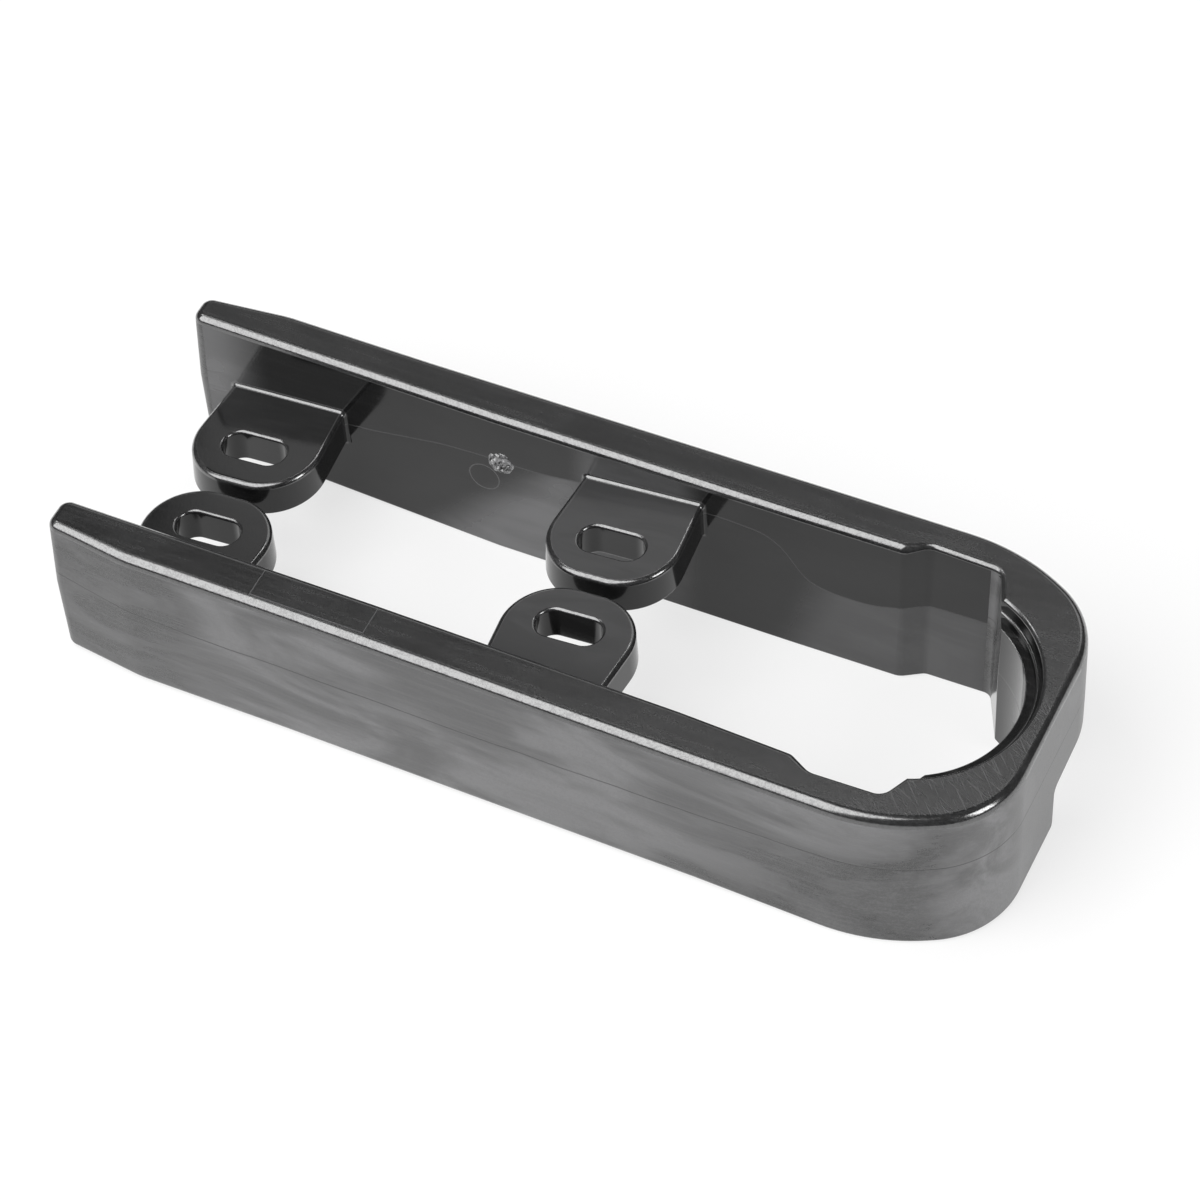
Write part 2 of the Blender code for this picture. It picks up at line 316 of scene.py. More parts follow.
levels = [("bottom", step) for step in range(rounding_steps + 1)]
levels.append(("parting", 0))
levels += [("top", step) for step in range(rounding_steps, -1, -1)]
bent_corners = with_bends(outline_corners)
wall_loops = [rounded_outline(inset_corners(bent_corners, *level)) for level in levels]
print("The wall is", len(wall_loops), "loops of", len(wall_loops[0]), "points")

# %% [markdown]
# ## Skinning the loops
# A stack of loops with the same number of points becomes a solid by joining neighbours with
# four-sided faces and closing both ends. The cutters, the tabs and the gate scar further
# down are made by the same helpers.

# %% Helpers for every stack of loops


def join_rows(bm, rows):
    """Join neighbouring rows of points with four-sided faces, all the way round."""
    for lower, upper in zip(rows, rows[1:]):
        for i in range(len(lower)):
            j = (i + 1) % len(lower)
            bm.faces.new((lower[i], lower[j], upper[j], upper[i]))


def finished_mesh(bm, name):
    """Turn all the faces outwards and keep the result as a mesh."""
    bmesh.ops.recalc_face_normals(bm, faces=bm.faces)
    mesh = bpy.data.meshes.new(name)
    bm.to_mesh(mesh)
    bm.free()
    return mesh


def skin(loops, name):
    bm = bmesh.new()
    rows = [[bm.verts.new(point) for point in loop] for loop in loops]
    join_rows(bm, rows)
    bm.faces.new(list(reversed(rows[0])))
    bm.faces.new(rows[-1])
    return finished_mesh(bm, name)


def add_object(name, data):
    item = bpy.data.objects.new(name, data)
    bpy.context.scene.collection.objects.link(item)
    return item


def add_solid(name, mesh):
    """Add a mesh whose x counts from the tips, so that the part's middle is at zero."""
    item = add_object(name, mesh)
    item.location.x = -length / 2
    return item


slider = add_solid("moulded_slider", skin(wall_loops, "moulded_slider"))
print("The plain U has", len(slider.data.polygons), "faces")

# %% [markdown]
# ## Mounting tabs
# Two pairs of tabs stand between the arms, all on one tilted plane. Each is a plate with a
# round end that flares into its arm with a small fillet, because a sharp inner corner would
# crack. It is built as rows of points from the root to the round end.

# %% The tabs


def tab_top(x):
    """Height of the tilted plane that carries the top faces of all the tabs."""
    return tab_first_height + (x - tab_first_x) * tab_slope


def root_flare(distance):
    short = max(tab_root_fillet - max(distance, 0.0), 0.0)
    return tab_root_fillet - (tab_root_fillet**2 - short**2) ** 0.5


def tab_rows(reach):
    root = tab_root_width / 2
    head = tab_head_width / 2
    flare_angle = atan2(head - root, reach - tab_end_radius)
    rows = [(root + root_flare(0.0), -tab_root_depth, 0.0)]
    for i in range(rounding_steps + 2):
        distance = tab_root_fillet * (1 - cos(radians(90) * i / (rounding_steps + 1)))
        half = root + distance * tan(flare_angle)
        rows.append((half + root_flare(distance), distance, 0.0))
    end_steps = round(90 / arc_step)
    for i in range(end_steps + 1):
        angle = -flare_angle + (radians(90) + flare_angle) * i / end_steps
        across = head - tab_end_radius + tab_end_radius * cos(angle)
        along = reach - tab_end_radius + tab_end_radius * sin(angle)
        rows.append((across, along, angle))
    return rows


def tab_edge():
    half = tab_thickness / 2
    edge = []
    for inset, rise in rounding(tab_bottom_rounding, rounding_steps - 1):
        edge.append((inset, rise - half))
    for inset, drop in rounding(tab_top_rounding, rounding_steps - 1)[::-1]:
        edge.append((inset, half - drop))
    lean = tan(radians(tab_side_lean))
    return [(inset + (level + half) * lean, level) for inset, level in edge]


def tab_mesh(centre_x, side):
    bm = bmesh.new()
    edge = tab_edge()
    wall_at_tab = inner_wall(centre_x, tab_top(centre_x), side)
    rows = []
    for half, distance, angle in tab_rows(wall_at_tab - tab_gap / 2):
        flare = root_flare(distance)
        row = []
        for hand in (-1, 1):
            for inset, level in edge:
                x = centre_x + hand * (half - inset * cos(angle))
                lift = flare if level > 0 else -flare
                z = tab_top(x) - tab_thickness / 2 + level + lift
                at_root = distance <= tab_root_fillet
                wall = inner_wall(x, z, side) if at_root else wall_at_tab
                y = side * (wall - distance + inset * sin(angle))
                row.append(bm.verts.new((x, y, z)))
        count = len(edge)
        rows.append(row[:count] + row[count:][::-1])
    join_rows(bm, rows)
    bm.faces.new(rows[0])
    last = rows[-1]
    for i in range(len(edge) - 1):
        j = len(last) - 1 - i
        bm.faces.new((last[i], last[i + 1], last[j - 1], last[j]))
    return finished_mesh(bm, "tab")


# %% [markdown]
# ## Slots, ledges and notch
# Everything that is cut away gets a cutter of its own. A slot is longer than it is wide, so
# that its screw can slide, and its rims are rounded where the cutter opens out. The ring
# bore has two turned ledges for a boss, and a notch lifts the nose's lower edge.

# %% The cutters


def slot_mesh(centre_x, side):
    centre_y = side * (tab_gap / 2 + slot_setback)
    end_radius = slot_width / 2
    straight = slot_length / 2 - end_radius
    rim = rounding(slot_rounding, rounding_steps)[1:]
    upper = [(slot_rounding, overrun)] + [(inset, -drop) for inset, drop in rim]
    lower = [(inset, -tab_thickness - level) for inset, level in upper]
    end_steps = round(180 / arc_step / 2)
    loops = []
    for grow, level in lower + upper[::-1]:
        loop = []
        for hand in (1, -1):
            for i in range(end_steps + 1):
                angle = radians(-90 + 180 * i / end_steps)
                x = centre_x + hand * (straight + (end_radius + grow) * cos(angle))
                y = centre_y + hand * (end_radius + grow) * sin(angle)
                loop.append((x, y, tab_top(x) + level))
        loops.append(loop)
    return skin(loops, "slot_cutter")


def ledge_mesh():
    centre_x, centre_y = ring_centre()
    profile = [(rim_radius + rim_rounding, height + overrun)]
    for inset, drop in rounding(rim_rounding, rounding_steps)[1:]:
        profile.append((rim_radius + inset, height - drop))
    profile.append((rim_radius, height - rim_depth))
    for inset, drop in rounding(ledge_rounding, rounding_steps)[1:]:
        profile.append((ledge_radius + inset, height - rim_depth - drop))
    profile.append((ledge_radius, height - ledge_depth))
    for inset, drop in rounding(ledge_rounding, rounding_steps)[1:-1]:
        profile.append((ring_radius + inset, height - ledge_depth - drop))
    bore = ring_radius - ledge_rounding
    profile.append((bore, height - ledge_depth - 2 * ledge_rounding))
    loops = []
    for radius, z in profile:
        loop = []
        for i in range(ring_steps):
            angle = radians(360) * i / ring_steps
            x = centre_x + radius * cos(angle)
            loop.append((x, centre_y + radius * sin(angle), z))
        loops.append(loop)
    return skin(loops, "ledge_cutter")


def notch_mesh():
    far_y = width
    profile = [(notch_start - notch_foot_radius, -overrun)]
    for inset, rise in rounding(notch_foot_radius, rounding_steps)[1:]:
        profile.append((notch_start - inset, rise))
    for i in range(rounding_steps + 1):
        angle = radians(90) * i / rounding_steps
        y = notch_start + notch_corner_radius * (1 - cos(angle))
        profile.append((y, notch_height - notch_corner_radius * (1 - sin(angle))))
    profile.append((far_y, notch_height + notch_roof_slope * (far_y - notch_start)))
    profile.append((far_y, -overrun))
    loops = []
    for x in (length - notch_depth, length + overrun):
        loops.append([(x, y, z) for y, z in profile])
    return skin(loops, "notch_cutter")


# %% [markdown]
# ## One piece
# The real part is one piece, so its mesh is one as well. Boolean modifiers join the tabs and
# take the cutters away. The result is then written back as a plain mesh, and the helpers are
# deleted.

# %% Join the tabs and cut the holes


def cut_with(body, tool, operation):
    modifier = body.modifiers.new(tool.name, "BOOLEAN")
    modifier.operation = operation
    modifier.solver = "EXACT"
    modifier.object = tool
    return tool


helpers = [cut_with(slider, add_solid("ledge_cutter", ledge_mesh()), "DIFFERENCE")]
helpers.append(cut_with(slider, add_solid("notch_cutter", notch_mesh()), "DIFFERENCE"))
for number in range(2):
    for side, word in ((1, "far"), (-1, "near")):
        centre_x = tab_first_x + number * tab_spacing
        centre_x += tab_stagger if side < 0 else 0.0
        tab = add_solid(f"tab_{word}_{number + 1}", tab_mesh(centre_x, side))
        helpers.append(cut_with(slider, tab, "UNION"))
        slot = add_solid(f"slot_{word}_{number + 1}", slot_mesh(centre_x, side))
        helpers.append(cut_with(slider, slot, "DIFFERENCE"))

dressed = slider.evaluated_get(bpy.context.evaluated_depsgraph_get())
one_piece = bpy.data.meshes.new_from_object(dressed)
slider.modifiers.clear()
slider.data = one_piece
one_piece.name = "moulded_slider"
one_piece.transform(Matrix.Translation(slider.location))
slider.location = (0.0, 0.0, 0.0)
for helper in helpers:
    bpy.data.objects.remove(helper, do_unlink=True)
print("The moulded piece has", len(one_piece.polygons), "faces")

# %% [markdown]
# ## Shading the mesh
# Smooth shading blends the normals across every edge, and a weighted normal lets the big
# flat faces keep theirs, so that only the roundings bend the light.

# %% Smooth shading with true flats
one_piece.shade_smooth()
one_piece.set_sharp_from_angle(angle=radians(35))
weighted = slider.modifiers.new("flat_faces_stay_flat", "WEIGHTED_NORMAL")
weighted.keep_sharp = True
weighted.weight = 50

# %% [markdown]
# ## The gate scar
# The melt entered the mould through one small hole in the far arm's inner wall, and the
# plug was torn off there. It could be painted on, but torn plastic stands proud of the wall
# and throws its own highlights. Here it is a small closed lump: a round grid of points whose
# height comes from a ridged noise, sunk a little into the wall.

# %% Gate scar
gate_x, gate_z = -29.6 * MM, 25.0 * MM
gate_half_width, gate_half_height = 3.0 * MM, 3.1 * MM
gate_wall = inner_wall(gate_x + length / 2, gate_z, 1)
bm = bmesh.new()
gate_rings, gate_spokes = 22, 64
gate_ragged, gate_waves, gate_seed = 0.16, 1.7, 4.0
gate_base, gate_ridge, gate_crumb, gate_sunk = 0.18, 0.75, 0.16, 0.12
ridges_per_metre, crumbs_per_metre, ridge_sharpness = 900, 2600, 3.2
ridge_seed = Vector((3.0, 0.0, 7.0))
gate_seat = 0.6 * MM
rows = []
for i in range(1, gate_rings + 1):
    share = i / gate_rings
    row = []
    for k in range(gate_spokes):
        angle = 2 * pi * k / gate_spokes
        round_it = Vector((cos(angle) * gate_waves, sin(angle) * gate_waves, gate_seed))
        ragged = 1 + gate_ragged * noise.noise(round_it)
        x = gate_half_width * share * ragged * cos(angle)
        z = gate_half_height * share * ragged * sin(angle)
        place = Vector((x, z, 0.0))
        valley = abs(noise.noise(place * ridges_per_metre + ridge_seed))
        ridge = max(1 - valley * ridge_sharpness, 0.0)
        fine = noise.noise(place * crumbs_per_metre)
        proud = gate_base + gate_ridge * ridge + gate_crumb * fine
        rise = proud * (1 - share**4) - gate_sunk
        row.append(bm.verts.new((gate_x + x, gate_wall - rise * MM, gate_z + z)))
    rows.append(row)
join_rows(bm, rows)
bm.faces.new(rows[0])
floor_row = [bm.verts.new((v.co.x, gate_wall + gate_seat, v.co.z)) for v in rows[-1]]
join_rows(bm, [rows[-1], floor_row])
bm.faces.new(floor_row)
scar_mesh = finished_mesh(bm, "gate_scar")
scar_mesh.shade_smooth()
gate_scar = add_object("gate_scar", scar_mesh)
print("The gate scar has", len(scar_mesh.polygons), "faces")

# %% [markdown]
# ## Effects that more than one finish uses
# Black plastic is never one flat colour. It carries the mould's fine grain, cloudy marks
# where the melt flowed, the seam between the mould halves, and light scratches. Each effect
# is a node group: it is built once, and each material places it with its own values. All of
# them read the same object coordinates, turned into millimetres, so their scale is real.

# %% Helpers for nodes and groups


def new_group(name, inputs, outputs):
    """Start a group that reads the place in mm and some values; None stands for a vector."""
    group = bpy.data.node_groups.new(name, "ShaderNodeTree")
    for label, value in {"Place in mm": None, **inputs}.items():
        kind = "NodeSocketVector" if value is None else "NodeSocketFloat"
        socket = group.interface.new_socket(name=label, in_out="INPUT", socket_type=kind)
        if value is not None:
            socket.default_value = value
    for label in outputs:
        group.interface.new_socket(name=label, in_out="OUTPUT", socket_type="NodeSocketFloat")
    start = group.nodes.new("NodeGroupInput")
    end = group.nodes.new("NodeGroupOutput")
    return group, start.outputs, end.inputs


def fill(tree, node, links):
    """Fill a node's inputs, each by a value or by a link."""
    for socket, value in links.items():
        if isinstance(value, bpy.types.NodeSocket):
            tree.links.new(value, node.inputs[socket])
        else:
            node.inputs[socket].default_value = value
    return node


def put(tree, kind, links, **settings):
    """Add a node, set its properties and fill its inputs."""
    node = tree.nodes.new(kind)
    for key, value in settings.items():
        setattr(node, key, value)
    return fill(tree, node, links)


def math(tree, operation, first, second=0.0, clamp=False):
    links = {0: first, 1: second}
    return put(tree, "ShaderNodeMath", links, operation=operation, use_clamp=clamp).outputs[0]


def vector_math(tree, operation, first, second=(0.0, 0.0, 0.0), result="Vector"):
    links = {0: first, 1: second}
    return put(tree, "ShaderNodeVectorMath", links, operation=operation).outputs[result]


def xyz(tree, place):
    return put(tree, "ShaderNodeSeparateXYZ", {0: place}).outputs


def ramp(tree, value, low, high, start=0.0, end=1.0):
    """Map a value from the range low..high to start..end, clamped."""
    links = {"Value": value, "From Min": low, "From Max": high, "To Min": start, "To Max": end}
    return put(tree, "ShaderNodeMapRange", links, interpolation_type="SMOOTHSTEP").outputs[0]


def soft_noise(tree, place, scale, detail=2.0, distortion=0.0):
    links = {"Vector": place, "Scale": scale, "Detail": detail, "Distortion": distortion}
    return put(tree, "ShaderNodeTexNoise", links).outputs["Fac"]


def stretched(tree, place, scale):
    """Squeeze the coordinates, so that a texture grows along the smallest scale."""
    return vector_math(tree, "MULTIPLY", place, scale)


def hairline(tree, distance, line_width, core):
    """A mask of a line: full on the core's share of its width, none beyond the width."""
    away = math(tree, "DIVIDE", math(tree, "ABSOLUTE", distance), line_width)
    return ramp(tree, away, core, 1.0, 1.0, 0.0)


# %% [markdown]
# ### Moulded grain
# The steel of the mould is spark-eroded, which leaves pits of a few tenths of a millimetre.
# Two noises of different size give that uneven surface as a height for a bump.

# %% Moulded grain
coarse_share, coarse_height = 0.31, 0.6
grain_group, g_in, g_out = new_group("moulded_grain", {"Grain size": 0.35}, ["Height"])
g = grain_group
fineness = math(g, "DIVIDE", 1.0, g_in["Grain size"])
fine = soft_noise(g, g_in["Place in mm"], fineness)
coarse = soft_noise(g, g_in["Place in mm"], math(g, "MULTIPLY", fineness, coarse_share))
coarse = math(g, "MULTIPLY", coarse, coarse_height)
g.links.new(math(g, "ADD", fine, coarse), g_out["Height"])

# %% [markdown]
# ### Flow marks
# Hot plastic freezes where it meets the steel, and the next layer flows over it. That leaves
# cloudy bands that run along the part, the way the melt went. A noise that is stretched
# along X, and bent by a second noise, looks like them.

# %% Flow marks
cloud_stretch, cloud_range = (0.35, 1.0, 1.0), (0.34, 0.68)
streak_stretch, streak_range, streak_scale = (0.05, 1.0, 1.3), (0.42, 0.72), 1.1
flow_group, f_in, f_out = new_group("flow_marks", {"Band size": 14.0}, ["Clouds", "Streaks"])
f = flow_group
along = stretched(f, f_in["Place in mm"], cloud_stretch)
band_scale = math(f, "DIVIDE", 1.0, f_in["Band size"])
clouds = soft_noise(f, along, band_scale, detail=5.0, distortion=1.4)
f.links.new(ramp(f, clouds, *cloud_range), f_out["Clouds"])
drawn = stretched(f, f_in["Place in mm"], streak_stretch)
streaks = soft_noise(f, drawn, streak_scale, detail=6.0, distortion=0.6)
f.links.new(ramp(f, streaks, *streak_range), f_out["Streaks"])

# %% [markdown]
# ### Mould seam
# Where the two halves of the mould met, a fine line runs round the part. The group puts out
# a thin mask round a given height, and a second mask for all that lies below it, because
# the two halves of the mould weren't polished alike.

# %% Mould seam
seam_core, seam_blur, wander_scale = 0.2, 0.3, 0.05
seam_inputs = {"Seam height": 23.2, "Line width": 0.25}
seam_group, s_in, s_out = new_group("mould_seam", seam_inputs, ["Line", "Below"])
s = seam_group
all_heights = stretched(s, s_in["Place in mm"], (1.0, 1.0, 0.0))
wandering = math(s, "SUBTRACT", soft_noise(s, all_heights, wander_scale, detail=3.0), 0.5)
level = math(s, "ADD", s_in["Seam height"], wandering)
from_seam = math(s, "SUBTRACT", xyz(s, s_in["Place in mm"])["Z"], level)
s.links.new(hairline(s, from_seam, s_in["Line width"], seam_core), s_out["Line"])
s.links.new(ramp(s, from_seam, -seam_blur, seam_blur, 1.0, 0.0), s_out["Below"])

# %% [markdown]
# ### Handling scratches
# The part has been packed and unpacked, so it has hairline scratches. Two stretched noises,
# turned by different angles and cut off high, leave only thin broken lines. A third, broad
# noise keeps them in patches, and Cover fills the gaps where a face is rubbed all over.

# %% Handling scratches
scratch_stretch, scratch_lowest, scratch_fade = (0.09, 2.6, 0.5), 0.66, 0.08
cover_drop = 0.11
patch_scale, patch_range = 0.05, (0.45, 0.65)
scratch_inputs = {"Turn": 0.6, "Amount": 0.5, "Cover": 0.0}
scratch_group, c_in, c_out = new_group("handling_scratches", scratch_inputs, ["Lines"])
c = scratch_group
lowest = math(c, "SUBTRACT", scratch_lowest, math(c, "MULTIPLY", c_in["Cover"], cover_drop))
highest = math(c, "ADD", lowest, scratch_fade)
both_ways = []
for turn_share, seed in ((1.0, 0.0), (0.55, 37.0)):
    angle = math(c, "MULTIPLY", c_in["Turn"], turn_share)
    links = {"Vector": c_in["Place in mm"], "Angle": angle}
    turned = put(c, "ShaderNodeVectorRotate", links, rotation_type="Z_AXIS")
    thin = stretched(c, turned.outputs["Vector"], scratch_stretch)
    links = {"Vector": thin, "W": seed, "Scale": 1.0, "Detail": 3.0}
    lines = put(c, "ShaderNodeTexNoise", links, noise_dimensions="4D")
    both_ways.append(ramp(c, lines.outputs["Fac"], lowest, highest))
patchy = ramp(c, soft_noise(c, c_in["Place in mm"], patch_scale), *patch_range)
patchy = math(c, "MAXIMUM", patchy, c_in["Cover"])
lines_here = math(c, "MULTIPLY", math(c, "MAXIMUM", *both_ways), patchy)
c.links.new(math(c, "MULTIPLY", lines_here, c_in["Amount"]), c_out["Lines"])

# %% [markdown]
# ### Haze and painted light
# Soft-edged patches where the plastic is paler and less glossy. Some are haze, left by a
# mould that isn't polished everywhere. Others are painted light and shade: painted
# reflections, a painted sheen on the nose, and a painted shadow left beside the tabs. One patch
# runs from a leaning soft edge on the side of the tips to an end on the side of the nose.

# %% Haze and painted light
soft_patch_inputs = {"Start": 0.0, "Lean": 0.0, "End": 20.0, "End lean": 0.0, "Softness": 10.0}
soft_patch_group, h_in, h_out = new_group("soft_patch", soft_patch_inputs, ["Patch"])
h = soft_patch_group
at = xyz(h, h_in["Place in mm"])
start_here = math(h, "ADD", h_in["Start"], math(h, "MULTIPLY", at["Z"], h_in["Lean"]))
end_here = math(h, "ADD", h_in["End"], math(h, "MULTIPLY", at["Z"], h_in["End lean"]))
edges = []
for first, second in ((at["X"], start_here), (end_here, at["X"])):
    inside = math(h, "SUBTRACT", first, second)
    edges.append(ramp(h, math(h, "DIVIDE", inside, h_in["Softness"]), 0.0, 1.0))
h.links.new(math(h, "MULTIPLY", *edges), h_out["Patch"])

# %% [markdown]
# ### Marks of the mould's inserts
# Some parts of the mould are separate pieces of steel, such as a pin or a small plate, and
# each leaves its outline on the plastic as a hairline. One group draws a ring round a point,
# the other a rectangle seen from above.

# %% Insert marks
mark_core = 0.3
ring_inputs = {"Centre": None, "Radius": 3.0, "Line width": 0.2}
ring_mark_group, r_in, r_out = new_group("ring_mark", ring_inputs, ["Line"])
r = ring_mark_group
reach = vector_math(r, "DISTANCE", r_in["Place in mm"], r_in["Centre"], result="Value")
past_ring = math(r, "SUBTRACT", reach, r_in["Radius"])
r.links.new(hairline(r, past_ring, r_in["Line width"], mark_core), r_out["Line"])

plate_inputs = {"Centre": None, "Half size": None, "Line width": 0.16}
plate_mark_group, p_in, p_out = new_group("plate_mark", plate_inputs, ["Line"])
p = plate_mark_group
offset = vector_math(p, "SUBTRACT", p_in["Place in mm"], p_in["Centre"])
offset = vector_math(p, "ABSOLUTE", offset)
beyond = xyz(p, vector_math(p, "SUBTRACT", offset, p_in["Half size"]))
rim = math(p, "MAXIMUM", beyond["X"], beyond["Y"])
p.links.new(hairline(p, rim, p_in["Line width"], mark_core), p_out["Line"])
print("Groups:", [group.name for group in bpy.data.node_groups])

# %% [markdown]
# ## Placing the effects
# Three small helpers come first: one makes a grey, one a height that changes along the part,
# and one places a shared group in a material.

# %% Greys, heights and placed groups
seam_reach_mm, seam_top_mm = 100.0, 40.0


def grey(level):
    return (level, level, level * 1.02, 1.0)


def curve_of_x(tree, mm, points):
    """A height in mm that follows the part's length: points are (x, height) in mm."""
    links = {"Value": xyz(tree, mm)["X"], "From Min": -seam_reach_mm, "From Max": seam_reach_mm}
    share = put(tree, "ShaderNodeMapRange", links).outputs[0]
    curve = put(tree, "ShaderNodeFloatCurve", {"Value": share})
    line = curve.mapping.curves[0].points
    places = [((x / seam_reach_mm + 1) / 2, level / seam_top_mm) for x, level in points]
    line[0].location, line[1].location = places[0], places[-1]
    for place in places[1:-1]:
        line.new(*place)
    curve.mapping.update()
    return math(tree, "MULTIPLY", curve.outputs[0], seam_top_mm)


def place_group(tree, group, mm, links):
    """Place a shared group in a material, and return its outputs."""
    links = {"Place in mm": mm, **links}
    return put(tree, "ShaderNodeGroup", links, node_tree=group).outputs


# %% [markdown]
# ### Patches and rub marks
# Haze, and the painted light that shares its patches, is never even: the flow marks and the
# grain break it up, and some of it lies only below the seam. Where the top was rubbed, the
# same scratches lie close together.

# %% Patches and rub marks
rub_turn, rub_softness, rub_fade, past_the_nose = 0.85, 8.0, 6.0, 200.0


def haze_and_painted_light_area(start, end, softness, strength, lean=0.0, end_lean=0.0, below_seam=False):
    """One pale patch, in mm along the part, for the finish that it belongs to."""
    links = {"Start": start, "Lean": lean, "End": end, "End lean": end_lean, "Softness": softness}
    return links, strength, below_seam


# Some patches are haze and some are painted light: painted reflections, a painted sheen, and
# painted shade beside the tabs.
def haze_and_painted_light_of(tree, mm, clouds, specks, below, values):
    """All the patches of a finish, broken up by the flow marks and the grain."""
    broken = ramp(tree, clouds, 0.0, 1.0, values["patch_floor"], 1.0)
    speckled = math(tree, "SUBTRACT", 1.0, math(tree, "MULTIPLY", specks, values["speckle"]))
    broken = math(tree, "MULTIPLY", broken, speckled)
    haze_and_painted_light = 0.0
    for links, strength, below_seam in values["patches"]:
        here = place_group(tree, soft_patch_group, mm, links)["Patch"]
        here = math(tree, "MULTIPLY", here, strength)
        if below_seam:
            here = math(tree, "MULTIPLY", here, below)
        haze_and_painted_light = math(tree, "MAXIMUM", haze_and_painted_light, math(tree, "MULTIPLY", here, broken))
    return haze_and_painted_light


def rub_marks(tree, mm, start, side, amount):
    """Dense scratches past a place along the part, on the near side of a place across it."""
    links = {"Turn": rub_turn, "Amount": amount, "Cover": 1.0}
    rubs = place_group(tree, scratch_group, mm, links)["Lines"]
    links = {"Start": start, "End": past_the_nose, "Softness": rub_softness}
    here = place_group(tree, soft_patch_group, mm, links)["Patch"]
    near = ramp(tree, xyz(tree, mm)["Y"], side, side - rub_fade)
    return math(tree, "MULTIPLY", rubs, math(tree, "MULTIPLY", here, near))


# %% [markdown]
# ## One plastic, many finishes
# The plastic is black all over, but the mould wasn't polished the same everywhere. The outer
# walls are the most scuffed, the flat top is dull, the rounded edges are smooth, and the
# inner walls and the tabs are glossy. Below the seam the inner walls turn hazy. One function
# builds every finish from the same groups, with other values.

# %% The plastic
speck_range, speck_coat_share = (0.72, 0.95), 0.55
line_depth_mm, scratch_depth_mm = 0.04, 0.01
coat_ior = 1.75


def plastic(name, changes):
    """Build one finish: the usual values, with the changes that this finish asks for."""
    values = {**usual_values, **changes}
    material = bpy.data.materials.new(name)
    material.use_nodes = True
    tree = material.node_tree
    links = {0: put(tree, "ShaderNodeTexCoord", {}).outputs["Object"], "Scale": 1000.0}
    mm = put(tree, "ShaderNodeVectorMath", links, operation="SCALE").outputs[0]
    grain = place_group(tree, grain_group, mm, {"Grain size": values["grain_size"]})["Height"]
    flow = place_group(tree, flow_group, mm, {"Band size": values["band_size"]})
    seam_height = curve_of_x(tree, mm, values["seam_line"])
    seam = place_group(tree, seam_group, mm, {"Seam height": seam_height})
    scratches = place_group(tree, scratch_group, mm, {"Amount": values["scratches"]})["Lines"]
    specks = ramp(tree, grain, *speck_range)
    haze_and_painted_light = haze_and_painted_light_of(tree, mm, flow["Clouds"], specks, seam["Below"], values)
    clouds = math(tree, "MULTIPLY", flow["Clouds"], values["cloud_share"])
    clouds = math(tree, "ADD", clouds, math(tree, "MULTIPLY", specks, values["speckle"]))
    streaks = math(tree, "MULTIPLY", flow["Streaks"], values["streak_share"])
    dust = math(tree, "ADD", math(tree, "ADD", clouds, streaks), scratches, clamp=True)
    lines = math(tree, "MULTIPLY", seam["Line"], values["seam"])
    for group, strength, links in values["marks"]:
        mark = place_group(tree, group, mm, links)["Line"]
        lines = math(tree, "MAXIMUM", lines, math(tree, "MULTIPLY", mark, strength))
    if values["rubbed"]:
        lines = math(tree, "MAXIMUM", lines, rub_marks(tree, mm, *values["rubbed"]))
    colour = values["dark"]
    # The haze tone also paints reflections and sheen. Where a patch leaves a gap beside a tab,
    # the dark there is painted shade.
    for share, over in ((dust, "dusty"), (haze_and_painted_light, "haze_and_painted_light_tone"), (lines, "line")):
        links = {"Factor": share, "A": colour, "B": values[over]}
        colour = put(tree, "ShaderNodeMix", links, data_type="RGBA").outputs[2]
    dull = math(tree, "MAXIMUM", dust, haze_and_painted_light)
    heights = math(tree, "MULTIPLY", grain, values["grain_height"])
    for mask, depth in ((lines, line_depth_mm), (scratches, scratch_depth_mm)):
        heights = math(tree, "SUBTRACT", heights, math(tree, "MULTIPLY", mask, depth))
    bump = put(tree, "ShaderNodeBump", {"Height": heights, "Strength": 1.0, "Distance": MM})
    coat = values["coat"]
    if coat:
        coat = ramp(tree, specks, 0.0, 1.0, coat, coat * speck_coat_share)
    fill(tree, tree.nodes["Principled BSDF"], {
        "Base Color": colour,
        "Roughness": ramp(tree, dull, 0.0, 1.0, values["gloss"], values["matt"]),
        "Normal": bump.outputs["Normal"],
        "Specular IOR Level": values["sheen"],
        "Coat Weight": coat,
        "Coat IOR": coat_ior,
        "Coat Roughness": values["coat_roughness"],
    })
    return material


# %% [markdown]
# ## The usual values
# Most finishes agree on most values, so these are written once. The colours are the clean
# plastic, the dust on it, the haze, which is also the colour of painted reflections and sheen,
# and the fine lines. The two seams are heights in mm along the part, because the seam doesn't
# run level.

# %% The seams and the usual values
outer_seam = [(-100.0, 23.9), (-75.0, 22.0), (-30.0, 21.6), (40.0, 22.4), (100.0, 24.0)]
inner_seam = [
    (-100.0, 19.0), (-62.0, 21.4), (-50.0, 23.6), (-41.0, 25.0), (-19.0, 26.0),
    (-11.0, 27.0), (26.0, 29.8), (40.0, 19.0), (47.0, 18.0), (61.0, 20.5), (100.0, 20.5),
]
usual_values = {
    "line": grey(0.01), "dark": grey(0.006), "dusty": grey(0.02), "haze_and_painted_light_tone": grey(0.1),
    "speckle": 0.0, "patch_floor": 0.75,
    "patches": [], "marks": [], "rubbed": None,
    "sheen": 0.5, "coat": 0.0, "coat_roughness": 0.1,
    "grain_size": 0.3, "cloud_share": 0.25, "streak_share": 0.2,
    "seam_line": outer_seam, "seam": 0.0,
}

# %% [markdown]
# ### Outer walls
# The outer walls take the knocks. Their haze is wide and uneven, the grain shows as specks,
# and the seam is a dark line round them. On the nose the pale tone is a painted sheen, which
# stands in for the broad reflection on its end, and the haze tone was made paler partly for it.

